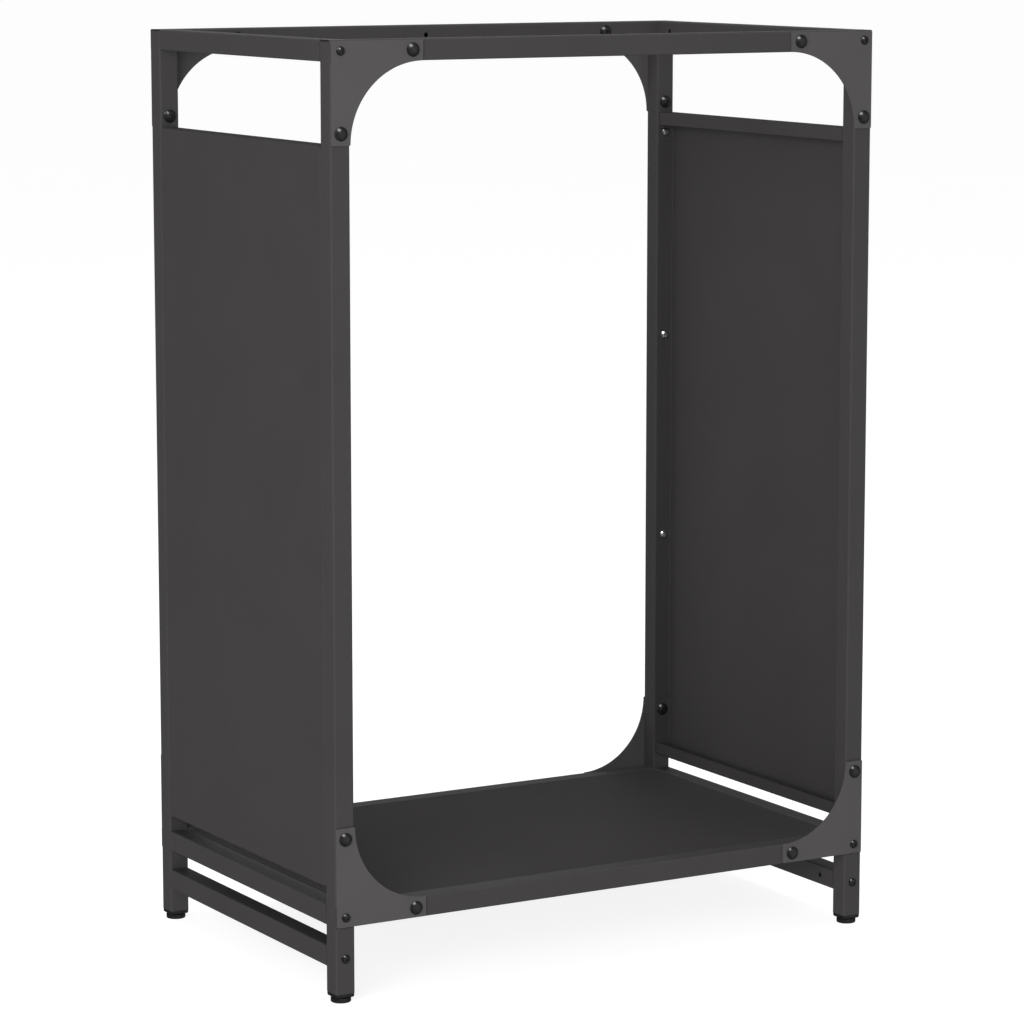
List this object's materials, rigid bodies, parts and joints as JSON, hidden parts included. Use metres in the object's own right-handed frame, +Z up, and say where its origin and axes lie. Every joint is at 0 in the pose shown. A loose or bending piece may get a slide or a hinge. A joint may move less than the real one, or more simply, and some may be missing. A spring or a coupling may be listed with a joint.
{
  "type": "firewood log rack",
  "caption": "Free-standing firewood rack: bolted square tube frame, open front and back, folded sheet side panels and shelf, corner gussets and levelling feet.",
  "frame": {"origin": "on the floor, in the middle of the rack's footprint", "axes": "+X to the right along the width, -Y out of the open front, +Z up"},
  "size_m": [0.6, 0.391, 0.9],
  "materials": {
    "anthracite_coat": "anthracite powder coat, satin, fine texture",
    "grey_coat": "lighter grey powder coat, satin, fine texture",
    "black_plastic": "moulded black plastic, fine grain",
    "black_bolt": "gloss black coated steel",
    "zinc": "bright zinc plated"
  },
  "bodies": {
    "frame": {"post_front_left": "anthracite_coat", "post_front_right": "anthracite_coat", "post_back_left": "anthracite_coat", "post_back_right": "anthracite_coat", "side_rail_top_left": "anthracite_coat", "side_rail_top_right": "anthracite_coat", "side_rail_bottom_left": "anthracite_coat", "side_rail_bottom_right": "anthracite_coat", "side_rail_low_left": "anthracite_coat", "side_rail_low_right": "anthracite_coat", "cross_rail_top_front": "anthracite_coat", "cross_rail_top_back": "anthracite_coat", "cross_rail_bottom_front": "anthracite_coat", "cross_rail_bottom_back": "anthracite_coat", "side_panel_left": "anthracite_coat", "side_panel_right": "anthracite_coat", "shelf": "anthracite_coat", "gusset_top_front_left": "grey_coat", "gusset_top_front_right": "grey_coat", "gusset_top_back_left": "grey_coat", "gusset_top_back_right": "grey_coat", "gusset_bottom_front_left": "grey_coat", "gusset_bottom_front_right": "grey_coat", "gusset_bottom_back_left": "grey_coat", "gusset_bottom_back_right": "grey_coat", "post_cap_front_left": "black_plastic", "post_cap_front_right": "black_plastic", "post_cap_back_left": "black_plastic", "post_cap_back_right": "black_plastic", "leg_insert_front_left": "black_plastic", "leg_insert_front_right": "black_plastic", "leg_insert_back_left": "black_plastic", "leg_insert_back_right": "black_plastic", "gusset_bolts_front": "black_bolt", "gusset_bolts_back": "black_bolt", "sleeve_nuts_front": "black_bolt", "sleeve_nuts_back": "black_bolt", "corner_screws_front": "black_bolt", "corner_screws_back": "black_bolt", "leg_screws_front": "black_bolt", "leg_screws_back": "black_bolt", "rail_end_plugs_left": "black_plastic", "rail_end_plugs_right": "black_plastic", "panel_screws_left": "zinc", "panel_screws_right": "zinc"},
    "foot_front_left": {"foot_front_left": "black_plastic"},
    "foot_front_right": {"foot_front_right": "black_plastic"},
    "foot_back_left": {"foot_back_left": "black_plastic"},
    "foot_back_right": {"foot_back_right": "black_plastic"}
  },
  "joints": [
    {"name": "foot_front_left_level", "type": "slide", "parent": "frame", "child": "foot_front_left", "axis": [0, 0, -1], "range_m": [0, 0.008]},
    {"name": "foot_front_right_level", "type": "slide", "parent": "frame", "child": "foot_front_right", "axis": [0, 0, -1], "range_m": [0, 0.008]},
    {"name": "foot_back_left_level", "type": "slide", "parent": "frame", "child": "foot_back_left", "axis": [0, 0, -1], "range_m": [0, 0.008]},
    {"name": "foot_back_right_level", "type": "slide", "parent": "frame", "child": "foot_back_right", "axis": [0, 0, -1], "range_m": [0, 0.008]}
  ]
}
